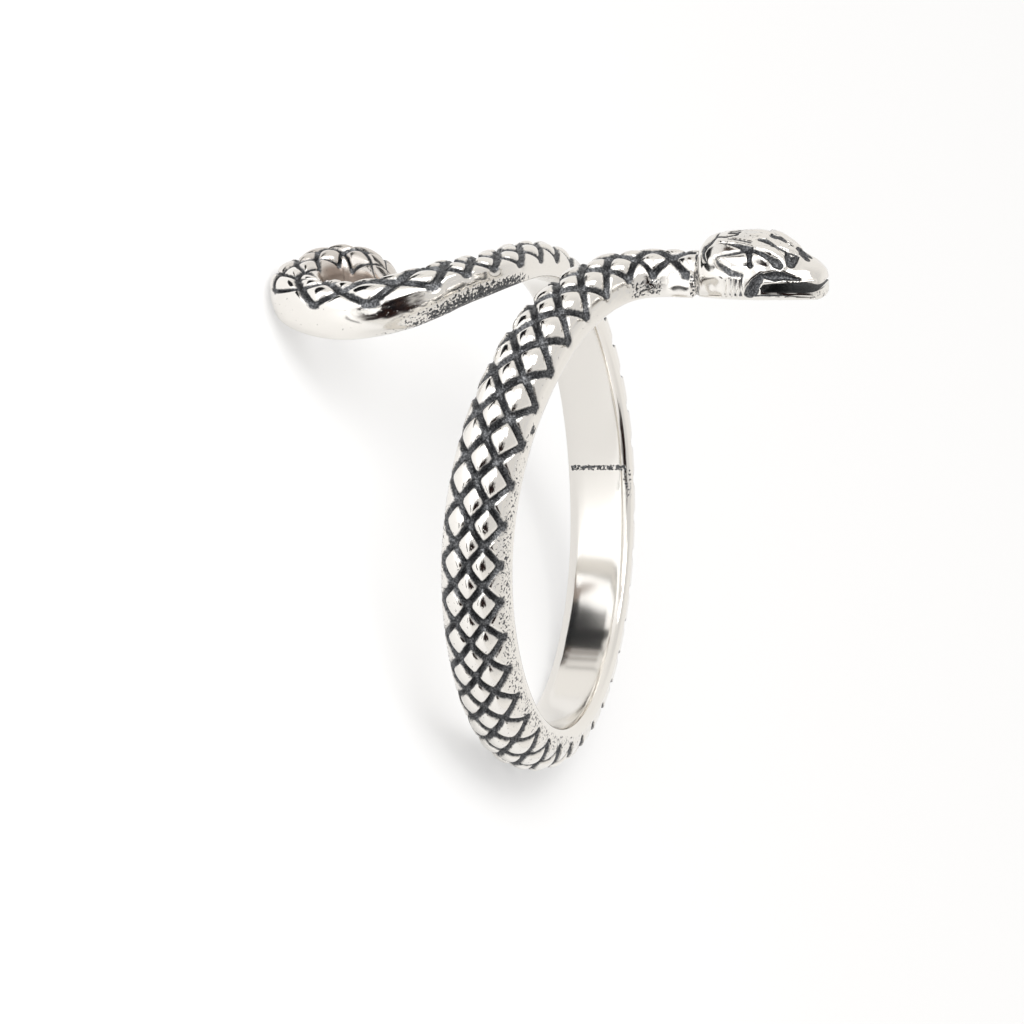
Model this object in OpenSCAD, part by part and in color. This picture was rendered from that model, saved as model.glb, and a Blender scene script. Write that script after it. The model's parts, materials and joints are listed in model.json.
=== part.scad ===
// A snake wrap ring, cast in one piece. The body winds once round the finger.
// The head lies along the finger on one side, and the tail makes a loop on the other.
// All lengths are millimetres and all angles are degrees.
// The ring is worked out upright, round the X axis, and then laid on its side as it rests.

/* [Finger] */
// Inner diameter of the band
finger_d = 17.3; // [15:0.1:21]
// How far the bore opens out towards its two ends
end_ease = 0.08; // [0.02:0.01:0.12]

/* [Band] */
// Width of the body at its widest
band_w = 2.6; // [2:0.05:3.2]
// Height of the body above the finger
band_t = 1.8; // [1.5:0.05:2.3]
// Height of the smooth wall below the scales
wall_h = 0.6; // [0.4:0.05:0.8]
// Width that the bevel takes off each lower edge
edge_bevel = 0.22; // [0.1:0.02:0.3]

/* [Scales] */
// Length of one scale along the crest
scale_l = 1.66; // [1.3:0.02:2]
// Depth of the grooves between scales
groove_depth = 0.17; // [0.08:0.01:0.25]
// Swell of a scale's middle above its edges
scale_swell = 0.06; // [0:0.01:0.12]

/* [Head] */
// Reach of the neck from the middle of the band
neck_reach = 6.35; // [5.5:0.05:8]
// Length of the head
head_l = 5.1; // [4:0.1:6]
// Width of the head across the jaws
head_w = 3.8; // [3:0.1:4.6]
// Height of the head from chin to crown
head_h = 2.4; // [1.9:0.05:2.8]
// Rise of the chin above the finger
chin_rise = 0.06; // [0.06:0.02:0.3]
// Length of the open mouth
mouth_l = 2.4; // [1.6:0.1:2.8]
// Height of the open mouth
mouth_h = 0.46; // [0.3:0.02:0.6]
// Thickness of the lower jaw
jaw_t = 0.46; // [0.26:0.02:0.6]
// Height of the brow ridges and depth of the eye hollows
brow_h = 0.16; // [0:0.02:0.24]

/* [Tail] */
// Reach of the tail's loop from the middle of the band
tail_reach = 8.7; // [8:0.1:11]
// Angle round the finger from its top to the near side of the loop
loop_turn = 29; // [22:1:34]

/* [Hidden] */
finger_r = finger_d / 2;
crest_r = finger_r + band_t;
// Steps in half a scale, along the body and across it
steps = 3;
// Steps between two rows of a route table, and between two rows of the head's table
route_steps = 10;
head_steps = 2;
// How far the swept inner face dips below the finger, for the bore to trim
bore_trim = 0.12;
// How far the cutters run past what they cut
past = 1;

// Tail from its tip to the crossing on top. Place is a share of tail_reach and turn a share of loop_turn.
// Wide, high, wall and long are shares of the body's width, its height, its smooth wall and its scales' length.
// Lean is the angle by which the section leans into the loop.
//            place  turn   wide  high  wall  long  lean
tail_table = [
             [0.60,  0.40,  0.14, 0.20, 0.40, 1.00,   0],
             [0.65,  0.26,  0.34, 0.40, 0.45, 1.00,   0],
             [0.73,  0.12,  0.52, 0.56, 0.50, 1.00,   0],
             [0.83,  0.06,  0.66, 0.68, 0.60, 1.00,   0],
             [0.92,  0.11,  0.70, 0.71, 0.80, 1.00,  -4],
             [0.98,  0.30,  0.70, 0.71, 1.20, 1.00,  -8],
             [1.00,  0.57,  0.72, 0.80, 1.75, 1.00,  -6],
             [0.96,  0.83,  0.77, 0.98, 2.30, 1.00,   8],
             [0.85,  0.97,  0.80, 1.06, 2.50, 1.00,  22],
             [0.71,  1.00,  0.80, 1.08, 2.50, 1.20,  26],
             [0.56,  0.92,  0.80, 1.07, 2.50, 1.50,  24],
             [0.42,  0.74,  0.79, 1.02, 2.30, 1.30,  18],
             [0.32,  0.50,  0.78, 0.90, 1.90, 0.75,  12],
             [0.23,  0.24,  0.77, 0.76, 1.50, 0.80,   6],
             [0.17, -0.08,  0.76, 0.68, 1.15, 1.00,   0],
             [0.14, -0.46,  0.78, 0.72, 1.00, 1.00,   0]];
// Hoop from the far side of the top, down, under the finger and up to the neck. Place is a share of
// neck_reach, and turn is the angle from the top.
//            place  turn   wide  high  wall  long  lean
hoop_table = [
             [-0.16,  30,   0.84, 0.82, 1.00, 1.00,   0],
             [-0.14,  60,   0.93, 0.93, 1.00, 1.00,   0],
             [-0.09,  90,   0.97, 0.97, 1.00, 1.00,   0],
             [-0.02, 135,   0.92, 0.93, 1.00, 1.00,   0],
             [ 0.02, 180,   0.90, 0.90, 1.00, 1.00,   0],
             [ 0.01, 225,   0.98, 0.97, 1.00, 1.00,   0],
             [ 0.02, 270,   1.00, 1.00, 1.00, 1.00,   0],
             [ 0.10, 300,   1.00, 1.00, 1.00, 1.00,   0],
             [ 0.25, 327,   0.97, 0.98, 1.00, 1.00,   0],
             [ 0.36, 341,   0.93, 0.93, 1.00, 1.00,   0],
             [ 0.49, 351,   0.86, 0.91, 1.10, 1.00,   0],
             [ 0.65, 357,   0.79, 0.89, 1.20, 1.00,   0],
             [ 0.83, 359,   0.74, 0.88, 1.25, 1.00,   0],
             [ 1.00, 359,   0.72, 0.88, 1.30, 1.00,   0]];
// Head from the neck to the snout. Place is a share of head_l, wide of head_w, top of head_h,
// and low is how far the underside rises, as a share of head_h.
//            place  wide  top   low
head_table = [
             [0.00,  0.48, 0.67, 0.00],
             [0.05,  0.50, 0.71, 0.00],
             [0.10,  0.68, 0.86, 0.00],
             [0.17,  0.86, 0.94, 0.00],
             [0.26,  0.97, 0.98, 0.00],
             [0.38,  1.00, 1.00, 0.00],
             [0.53,  0.96, 1.00, 0.00],
             [0.67,  0.84, 0.90, 0.00],
             [0.80,  0.70, 0.74, 0.00],
             [0.89,  0.60, 0.59, 0.01],
             [0.95,  0.50, 0.49, 0.03],
             [0.98,  0.38, 0.45, 0.06],
             [1.00,  0.24, 0.38, 0.10]];
// Brows, eye hollows, nostril dents and cheeks, on both sides alike. Place and reach are shares of head_l,
// turn and spread are degrees from the crown, and rise is a share of brow_h.
//            place  reach  turn  spread  rise
bump_table = [
             [0.58,  0.16,   48,    18,    1.0],
             [0.58,  0.16,   74,    16,   -1.0],
             [0.82,  0.07,   42,    30,   -1.0],
             [0.30,  0.20,   76,    20,    1.0]];
// Section of the head: the flat chin and the jowls as shares of its width, and the rise of the jowls
// and of its widest place as shares of its height
chin_share = 0.75;
jowl_share = 0.94;
jowl_rise = 0.12;
cheek_rise = 0.36;

function unit(v) = v / norm(v);
function total(v) = [for (e = v) 1] * v;
function column(table, c) = [for (row = table) [row[0], row[c]]];
function radians(a) = a * PI / 180;
function degrees(a) = a * 180 / PI;

// Route of the body on the unrolled finger: place, arc length round the crest, then the section's columns
function section(row) = [for (c = [2:6]) row[c]];
route = concat(
    [for (r = tail_table) concat([-r[0] * tail_reach, -crest_r * radians(r[1] * loop_turn)], section(r))],
    [for (r = hoop_table) concat([r[0] * neck_reach, crest_r * radians(r[1])], section(r))]);
spans = len(route) - 1;
function flat(p) = [p[0], p[1]];
function chord(i) = norm(flat(route[i + 1]) - flat(route[i]));
function slope(i) = i == 0 ? (route[1] - route[0]) / chord(0)
    : i == spans ? (route[spans] - route[spans - 1]) / chord(spans - 1)
    : (route[i + 1] - route[i - 1]) / (chord(i - 1) + chord(i));
// Smooth curve through the rows of the route, at t rows from the tail's tip
function along(t) =
    let (i = max(0, min(spans - 1, floor(t))), f = t - i, c = chord(i), f2 = f * f, f3 = f2 * f)
    (2 * f3 - 3 * f2 + 1) * route[i] + (f3 - 2 * f2 + f) * c * slope(i)
    + (3 * f2 - 2 * f3) * route[i + 1] + (f3 - f2) * c * slope(i + 1);

// Half scales passed up to each fine step, and the step for each count of them
fine = spans * route_steps;
fine_rows = [for (i = [0:fine]) along(i / route_steps)];
function passed(i) = i == fine ? 0
    : 4 * norm(flat(fine_rows[i + 1]) - flat(fine_rows[i])) / (fine_rows[i + 1][5] + fine_rows[i][5]) / scale_l;
counts = [for (i = 0, n = 0; i <= fine; n = n + passed(i), i = i + 1) n];
half_scales = round(counts[fine]);
step_at = [for (i = [0:fine]) [counts[i] / counts[fine] * half_scales, i / route_steps]];

// A place on the body: its foot on the finger, the way out, the way across and its section's shares
slope_step = 0.02;
function frame_at(t) =
    let (p = along(t), d = unit(flat(along(t + slope_step)) - flat(along(t - slope_step))),
         a = degrees(p[1] / crest_r), out = [0, sin(a), cos(a)], round_way = [0, cos(a), -sin(a)],
         across = [-d[1], 0, 0] + d[0] * round_way)
    [[p[0], 0, 0] + finger_r * out, out * cos(p[6]) + across * sin(p[6]),
     across * cos(p[6]) - out * sin(p[6]), p[2], p[3], p[4]];

// Scales lie in a diamond lattice: along and across count in half scales, and a groove is 0.
// The relief fades towards the sides, and it starts on the tail between two rows of the table.
side_fade = 0.125;
fade_rows = [1, 3];
function lattice(m) = let (r = m % 2) abs((r < 0 ? r + 2 : r) - 1);
function groove_gap(p, v) = min(lattice(p + v), lattice(p - v));
function relief(p, v) =
    let (g = groove_gap(p, v), wall = 1 - min(1, g * steps))
    (scale_swell * g - groove_depth * wall) * (1 - side_fade * v * v);
// Angle on the dome for each half scale across: scales are narrower along the crest
crest_scale = 24;
side_scale = 8;
function dome_angle(v) = sign(v) * (crest_scale * abs(v) + side_scale * v * v);

// One ring of points across the body, from one lower edge over the crest to the other
wall_draft = 0.125;
function body_ring(f, t, p) =
    let (half = band_w * f[3] / 2, high = band_t * f[4], low = wall_h * f[5],
         fade = lookup(t, [[fade_rows[0], 0], [fade_rows[1], 1]]), bevel = edge_bevel * f[3] * f[5],
         edge = [half - bevel, -bore_trim], side = [half - wall_draft * bevel, bevel])
    concat(
        [[-edge[0], edge[1]], [-side[0], side[1]]],
        [for (j = [-2 * steps:2 * steps])
            let (v = j / steps, a = dome_angle(v), lift = fade * relief(p, v))
            [(half + lift) * sin(a), low + (high - low + lift) * cos(a)]],
        [side, edge]);
function placed(f, ring) = [for (q = ring) f[0] + q[0] * f[2] + q[1] * f[1]];

// The head goes straight on from the neck's end, and s is a share of its length
neck = frame_at(spans);
neck_turn = hoop_table[len(hoop_table) - 1][1];
ahead = cross(neck[2], neck[1]);
function bump(x, middle, reach) = let (d = (x - middle) / reach) abs(d) < 1 ? (1 + cos(180 * d)) / 2 : 0;
function head_relief(s, a) =
    brow_h * total([for (b = bump_table) b[4] * bump(s, b[0], b[1]) * bump(abs(a), b[2], b[3])]);
function head_ring(s) =
    let (half = lookup(s, column(head_table, 1)) * head_w / 2, top = lookup(s, column(head_table, 2)) * head_h,
         low = lookup(s, column(head_table, 3)) * head_h + chin_rise, jowl = low + jowl_rise * (top - low),
         cheek = low + cheek_rise * (top - low), f = [neck[0] + s * head_l * ahead, neck[1], neck[2]])
    placed(f, concat(
        [[-chin_share * half, low], [-jowl_share * half, jowl]],
        [for (j = [-2 * steps:2 * steps]) let (a = j * 45 / steps, r = head_relief(s, a))
            [(half + r) * sin(a), cheek + (top + chin_rise - cheek + r) * cos(a)]],
        [[jowl_share * half, jowl], [chin_share * half, low]]));

head_rows = len(head_table) - 1;
head_places = [for (i = [0:head_rows - 1]) for (k = [1:head_steps])
               head_table[i][0] + (head_table[i + 1][0] - head_table[i][0]) * k / head_steps];
rings = concat(
    [for (i = [0:half_scales * steps])
        let (t = lookup(i / steps, step_at)) placed(frame_at(t), body_ring(frame_at(t), t, i / steps))],
    [for (s = head_places) head_ring(s)]);
points = [for (ring = rings) each ring];
ring_n = len(rings[0]);
ring_count = len(rings);

// Each four-sided patch is split along the groove that runs nearest to it
function far_from_groove(m) = let (r = m % (2 * steps)) abs((r < 0 ? r + 2 * steps : r) - steps);
function patch(i, k) =
    let (n = (k + 1) % ring_n, j = k - 2 - 2 * steps, a = i * ring_n, b = a + ring_n)
    far_from_groove(i - j) <= far_from_groove(i + j + 1)
        ? [[a + k, b + n, b + k], [a + k, a + n, b + n]]
        : [[a + k, a + n, b + k], [a + n, b + n, b + k]];
faces = concat(
    [[for (k = [0:ring_n - 1]) ring_n - 1 - k]],
    [for (i = [0:ring_count - 2]) for (k = [0:ring_n - 1]) each patch(i, k)],
    [[for (k = [0:ring_n - 1]) (ring_count - 1) * ring_n + k]]);

// The balance point, from each ring's middle and size
crown = floor(ring_n / 2);
function middle_of(ring) = (ring[0] + ring[ring_n - 1] + 2 * ring[crown]) / 4;
weights = [for (i = [0:ring_count - 2])
    norm(middle_of(rings[i + 1]) - middle_of(rings[i])) * norm(rings[i][0] - rings[i][ring_n - 1])
    * norm(rings[i][0] - rings[i][crown])];
balance = total([for (i = [0:ring_count - 2]) weights[i] * middle_of(rings[i])]) / total(weights);

// Tips the ring over the edge through a and b, with down as the way down, to the next point it lands on.
// Points that lie over the edge itself, or nearer than this share of the finger, don't count.
over_edge = 0.0025 * finger_r;
function tip(a, b, down) =
    let (edge = unit(b - a), reach = balance - a, side = reach - (reach * down) * down - (reach * edge) * edge,
         way = unit(side),
         angles = [for (p = points) let (r = p - a, over = r * way) over > over_edge ? atan2(-(r * down), over) : 180],
         least = min(angles))
    [points[search(least, angles)[0]], down * cos(least) + way * sin(least)];
// Whether the balance point stands inside the edge from a to b, seen from c
function inside(a, b, c, down) =
    let (n = cross(b - a, down)) (n * (c - a)) * (n * (balance - a)) >= 0;
most_tips = 40;
function rest(a, b, down, left) =
    let (t = tip(a, b, down), c = t[0], d = t[1])
    left == 0 || (inside(a, c, b, d) && inside(b, c, a, d)) ? d
    : inside(a, c, b, d) ? rest(b, c, d, left - 1) : rest(a, c, d, left - 1);
// The ring is set down on the tail's side, leaning a little, and tips from there
first_down = unit([-2, 0, -1]);
drops = [for (p = points) p * first_down];
first = points[search(max(drops), drops)[0]];
sideways = cross(first_down, unit((balance - first) - ((balance - first) * first_down) * first_down));
second = tip(first, first + sideways, first_down);
down = rest(first, second[0], second[1], most_tips);

// Turns the ring so that down points at the floor, and puts the middle of its box over the origin
up_row = -down;
along_row = unit([1, 0, 0] - up_row[0] * up_row);
across_row = cross(up_row, along_row);
laid = [for (p = points) [along_row * p, across_row * p, up_row * p]];
function lowest(c) = min([for (p = laid) p[c]]);
function highest(c) = max([for (p = laid) p[c]]);
shift = [-(lowest(0) + highest(0)) / 2, -(lowest(1) + highest(1)) / 2, -lowest(2)];
lay_down = [concat(along_row, shift[0]), concat(across_row, shift[1]), concat(up_row, shift[2]), [0, 0, 0, 1]];

module body() {
    polyhedron(points = points, faces = faces, convexity = 10);
}

// The bore fits the finger under the band, and opens out a little under the tail and the neck
module finger_bore() {
    land = band_w / 2;
    far = tail_reach + band_w;
    rotate([0, 90, 0])
        rotate_extrude($fn = 96)
            polygon([[0, -far], [finger_r + end_ease, -far], [finger_r, -land],
                     [finger_r, land], [finger_r + end_ease, far], [0, far]]);
}

module mouth() {
    low = finger_r + chin_rise + jaw_t;
    rotate([-neck_turn, 0, 0])
        translate([neck_reach + head_l - mouth_l, -head_w / 2 - past, low])
            cube([mouth_l + past, head_w + 2 * past, mouth_h]);
}

module snake_ring() {
    color("silver")
        multmatrix(lay_down)
            difference() {
                body();
                finger_bore();
                mouth();
            }
}

snake_ring();
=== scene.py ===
# Snake wrap ring in oxidised sterling silver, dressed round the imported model.
# Numbers are millimetres and degrees in the ring's own upright frame: X runs along the finger
# towards the head, Z points up through the top of the ring and Y away from the camera.
import math

import bmesh
import bpy
import numpy as np
from mathutils import Matrix, Vector
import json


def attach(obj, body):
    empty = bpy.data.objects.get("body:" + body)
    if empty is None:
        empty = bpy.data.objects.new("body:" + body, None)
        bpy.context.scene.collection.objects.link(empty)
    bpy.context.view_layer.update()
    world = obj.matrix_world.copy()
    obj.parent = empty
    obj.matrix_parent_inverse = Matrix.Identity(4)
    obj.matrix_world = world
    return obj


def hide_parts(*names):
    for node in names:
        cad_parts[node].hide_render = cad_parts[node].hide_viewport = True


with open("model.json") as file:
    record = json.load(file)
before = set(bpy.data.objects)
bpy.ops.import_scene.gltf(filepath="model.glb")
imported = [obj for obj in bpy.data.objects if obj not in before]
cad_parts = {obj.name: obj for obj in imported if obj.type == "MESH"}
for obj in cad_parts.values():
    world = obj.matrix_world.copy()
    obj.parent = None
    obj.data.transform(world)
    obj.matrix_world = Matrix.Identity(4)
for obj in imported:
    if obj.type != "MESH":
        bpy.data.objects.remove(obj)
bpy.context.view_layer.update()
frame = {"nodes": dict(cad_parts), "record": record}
mm = 0.001

# The same named sizes as in the part's source
band = {
    "fingerR": 8.65,
    "width": 2.6,
    "height": 1.8,
    "wall": 0.6,
    "bevel": 0.24,
    "bevelIn": 1.1,        # width of the bevel against its height
    "scaleLength": 1.66,
    "neckReach": 6.35,
    "tailReach": 8.7,
    "loopTurn": 29,
    "barrel": 0.035,       # bulge of the polished side wall
    "stepsPerHalfScale": 9,
    "dip": 0.12,           # how far the swept inner face starts inside the finger
    "rimStep": 0.02,       # stations between two tries for the place where the section meets the finger
    "rimFrom": 2.3,        # station from which the side slides so that the rim ends at that place
    # the scales sit a little further back on the lower half of the near side: half scales by which
    # they do, where, and how far to both sides
    "setBack": 0.33,
    "setBackAt": 83,
    "setBackReach": 5.5,
}
# place, turn, wide, high, wall, long, lean: shares as in the part's source, except that the wall of
# the tail's loop is lower here, so that its scales reach further down
tailRows = [
    [0.60, 0.40, 0.14, 0.20, 0.40, 1.00, 0],
    [0.65, 0.26, 0.34, 0.40, 0.45, 1.00, 0],
    [0.73, 0.12, 0.52, 0.56, 0.50, 1.00, 0],
    [0.83, 0.06, 0.66, 0.68, 0.60, 1.00, 0],
    [0.92, 0.11, 0.70, 0.71, 0.80, 1.00, -4],
    [0.98, 0.30, 0.70, 0.71, 1.20, 1.00, -8],
    [1.00, 0.57, 0.72, 0.80, 1.75, 1.00, -6],
    [0.96, 0.83, 0.77, 0.98, 2.00, 1.00, 8],
    [0.85, 0.97, 0.80, 1.06, 2.05, 1.00, 22],
    [0.71, 1.00, 0.80, 1.08, 1.95, 1.20, 26],
    [0.56, 0.92, 0.80, 1.07, 1.95, 1.50, 24],
    [0.42, 0.74, 0.79, 1.02, 1.95, 1.30, 18],
    [0.32, 0.50, 0.78, 0.90, 1.90, 0.75, 12],
    [0.23, 0.24, 0.77, 0.76, 1.50, 0.80, 6],
    [0.17, -0.08, 0.76, 0.68, 1.15, 1.00, 0],
    [0.14, -0.46, 0.78, 0.72, 1.00, 1.00, 0],
]
hoopRows = [
    [-0.16, 30, 0.84, 0.82, 1.00, 1.00, 0],
    [-0.14, 60, 0.93, 0.93, 1.00, 1.00, 0],
    [-0.09, 90, 0.97, 0.97, 1.00, 1.00, 0],
    [-0.02, 135, 0.92, 0.93, 1.00, 1.00, 0],
    [0.02, 180, 0.90, 0.90, 1.00, 1.00, 0],
    [0.01, 225, 0.98, 0.97, 1.00, 1.00, 0],
    [0.02, 270, 1.00, 1.00, 1.00, 1.00, 0],
    [0.10, 300, 1.00, 1.00, 1.00, 1.00, 0],
    [0.25, 327, 0.97, 0.98, 1.00, 1.00, 0],
    [0.36, 341, 0.93, 0.93, 1.00, 1.00, 0],
    [0.49, 351, 0.86, 0.91, 1.10, 1.00, 0],
    [0.65, 357, 0.79, 0.89, 1.20, 1.00, 0],
    [0.83, 359, 0.74, 0.88, 1.25, 1.00, 0],
    [1.00, 359, 0.72, 0.88, 1.30, 1.00, 0],
]
neckTurn = hoopRows[-1][1]


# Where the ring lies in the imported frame
def unit(v):
    return v / np.linalg.norm(v)


def ringPose():
    # the bore's mount gives the axis, and the snout's end face the turn round it
    bore = frame["record"]["mounts"][0]
    axis = unit(np.array(bore["axis"], float))
    start = np.array(bore["pos_m"], float)
    co = np.array([v.co for v in frame["nodes"]["snake_ring"].data.vertices], float)
    reach = (co - start) @ axis
    tip = co[reach > reach.max() - 0.00001] - start
    tip = tip - np.outer(tip @ axis, axis)
    first = unit(tip.mean(0))
    second = np.cross(axis, first)
    turns = np.arctan2(tip @ second, tip @ first)
    middle = (turns.min() + turns.max()) / 2
    out = math.cos(middle) * first + math.sin(middle) * second
    roundWay = np.cross(out, axis)
    a = math.radians(neckTurn)
    upWay = math.cos(a) * out - math.sin(a) * roundWay
    away = math.sin(a) * out + math.cos(a) * roundWay
    return np.column_stack([axis, away, upWay]), start


turnToFrame, ringMiddle = ringPose()


def toFrame(points):
    return np.asarray(points) * mm @ turnToFrame.T + ringMiddle


# The body's route, section and scales
crestR = band["fingerR"] + band["height"]
route = np.array(
    [[-r[0] * band["tailReach"], -crestR * math.radians(r[1] * band["loopTurn"])] + r[2:] for r in tailRows]
    + [[r[0] * band["neckReach"], crestR * math.radians(r[1])] + r[2:] for r in hoopRows]
)
spans = len(route) - 1
chords = np.linalg.norm(np.diff(route[:, :2], axis=0), axis=1)
slopes = np.empty_like(route)
slopes[0] = (route[1] - route[0]) / chords[0]
slopes[-1] = (route[-1] - route[-2]) / chords[-1]
slopes[1:-1] = (route[2:] - route[:-2]) / (chords[:-1] + chords[1:])[:, None]


def along(t):
    t = np.asarray(t, float)
    i = np.clip(np.floor(t).astype(int), 0, spans - 1)
    f = (t - i)[:, None]
    c = chords[i][:, None]
    return ((2 * f**3 - 3 * f**2 + 1) * route[i] + (f**3 - 2 * f**2 + f) * c * slopes[i]
            + (3 * f**2 - 2 * f**3) * route[i + 1] + (f**3 - f**2) * c * slopes[i + 1])


fineT = np.linspace(0, spans, spans * 10 + 1)
fineRows = along(fineT)
fineSteps = np.linalg.norm(np.diff(fineRows[:, :2], axis=0), axis=1)
fineCounts = np.concatenate([[0], np.cumsum(
    4 * fineSteps / (fineRows[1:, 5] + fineRows[:-1, 5]) / band["scaleLength"])])
halfScales = round(fineCounts[-1])
fineCounts *= halfScales / fineCounts[-1]
fineCounts += band["setBack"] * np.exp(-((fineCounts - band["setBackAt"]) / band["setBackReach"]) ** 2)


def frames(t):
    # foot on the finger, way out, way across, and the rows of the route
    p = along(t)
    step = 0.02
    d = along(np.asarray(t) + step)[:, :2] - along(np.asarray(t) - step)[:, :2]
    d /= np.linalg.norm(d, axis=1)[:, None]
    a = p[:, 1] / crestR
    zero = np.zeros_like(a)
    out = np.column_stack([zero, np.sin(a), np.cos(a)])
    roundWay = np.column_stack([zero, np.cos(a), -np.sin(a)])
    across = np.column_stack([-d[:, 1], zero, zero]) + d[:, :1] * roundWay
    lean = np.radians(p[:, 6])[:, None]
    foot = np.column_stack([p[:, 0], zero, zero]) + band["fingerR"] * out
    leaningOut = out * np.cos(lean) + across * np.sin(lean)
    leaningAcross = across * np.cos(lean) - out * np.sin(lean)
    return foot, leaningOut, leaningAcross, p


def smooth(x, low, high):
    f = np.clip((x - low) / (high - low), 0, 1)
    return f * f * (3 - 2 * f)


def window(x, rise, fall):
    # 0 before the rise and after the fall, and 1 between them
    return smooth(x, *rise) * (1 - smooth(x, *fall))


def lattice(m):
    # 0 on a groove and 1 half a scale away from it
    return np.abs(np.mod(m, 2) - 1)


scales = {
    "grooveWidth": 0.35,
    "cornerPower": 3.5,    # the lower, the rounder the corners of the scales
    # half scales along the body and how wide the grooves are there, as a share
    "widths": [(0, 0.60), (9, 0.68), (12, 0.95), (13.5, 1.2), (15.5, 1.15),
               (18, 0.95), (64, 0.95), (70, 0.82), (84, 0.86), (90, 0.95)],
    "grooveDepth": 0.13,   # below the scales' edges
    "grooveFloor": 0.25,   # reach of the flat floor and of the whole cut, in halves of the width
    "grooveEdge": 1.1,
    "grooveTo": 2.9,       # station on the side wall where the grooves end
    "top": 0.07,           # a scale's middle, above the plain body
    "swell": 0.17,         # from a scale's edge to its middle
    "swellPower": 2.2,
    "wallLevel": 0.02,     # the side wall, above the plain body
    "wallBlend": (1.5, 2.4),    # stations over which the scales sink to it
    "wallCut": 0.30,       # half scales from a groove to where a cut-off scale is flush with the wall
    "sideFade": 0.06,      # how much flatter the scales are at the wall
    "crestAngle": 24,
    # half scales along the body and the angle from the crest at which the scales end
    "ends": [(0, 82), (69, 83), (72, 70), (75, 62), (83, 62),
             (86, 72), (88, 79), (95, 80), (99, 72), (102, 84)],
    "start": 4.0,          # half scales before the relief is full at the tail's tip
}
# stations across half the section, from the crest at 0 to the middle of the inner face
wallAt = 2.0
bevelAt = 3.0
rimAt = 3.6
innerAt = 5.0
stations = np.concatenate([
    np.arange(0, 20) * 0.1,
    [wallAt, 2.1, 2.2, 2.4, 2.7],
    [bevelAt, 3.15, 3.3, 3.45],
    [rimAt, 3.95, 4.3, 4.65, innerAt],
])
ringStations = np.concatenate([-stations[::-1][:-1], [0.0], stations[1:]])[:-1]


def sideAngle(p):
    ends = np.array(scales["ends"])
    return (np.interp(p, ends[:, 0], ends[:, 1]) - wallAt * scales["crestAngle"]) / wallAt**2


def lowerOutline(g, half, high, low, bevel, barrel, turnMore):
    # from the dome's end down the wall and the rounded bevel to the inner face's middle, and on up
    # the other side
    w = np.where(g > innerAt, 2 * innerAt - g, g)
    domeAngle = wallAt * scales["crestAngle"] + wallAt**2 * turnMore
    wallTop = low + (high - low) * np.cos(np.radians(domeAngle))
    wallH = wallTop + (bevel - wallTop) * np.clip(w - wallAt, 0, 1)
    above = np.clip((wallH - low) / (high - low), 0, 1)
    below = np.clip((low - wallH) / (low - bevel), 0, 1)
    wallU = half * np.sqrt(1 - above**2) + barrel * np.sin(math.pi * below) ** 2
    f = np.clip((w - bevelAt) / (rimAt - bevelAt), 0, 1)
    bevelU = half - band["bevelIn"] * bevel * (1 - np.cos(f * math.pi / 2))
    bevelH = bevel * (1 - np.sin(f * math.pi / 2)) - band["dip"] * f**3
    innerU = (half - band["bevelIn"] * bevel) * (1 - np.clip((w - rimAt) / (innerAt - rimAt), 0, 1))
    u = np.where(w < bevelAt, wallU, np.where(w < rimAt, bevelU, innerU))
    h = np.where(w < bevelAt, wallH, np.where(w < rimAt, bevelH, -band["dip"]))
    return np.where(g > innerAt, -u, u), h


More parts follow.
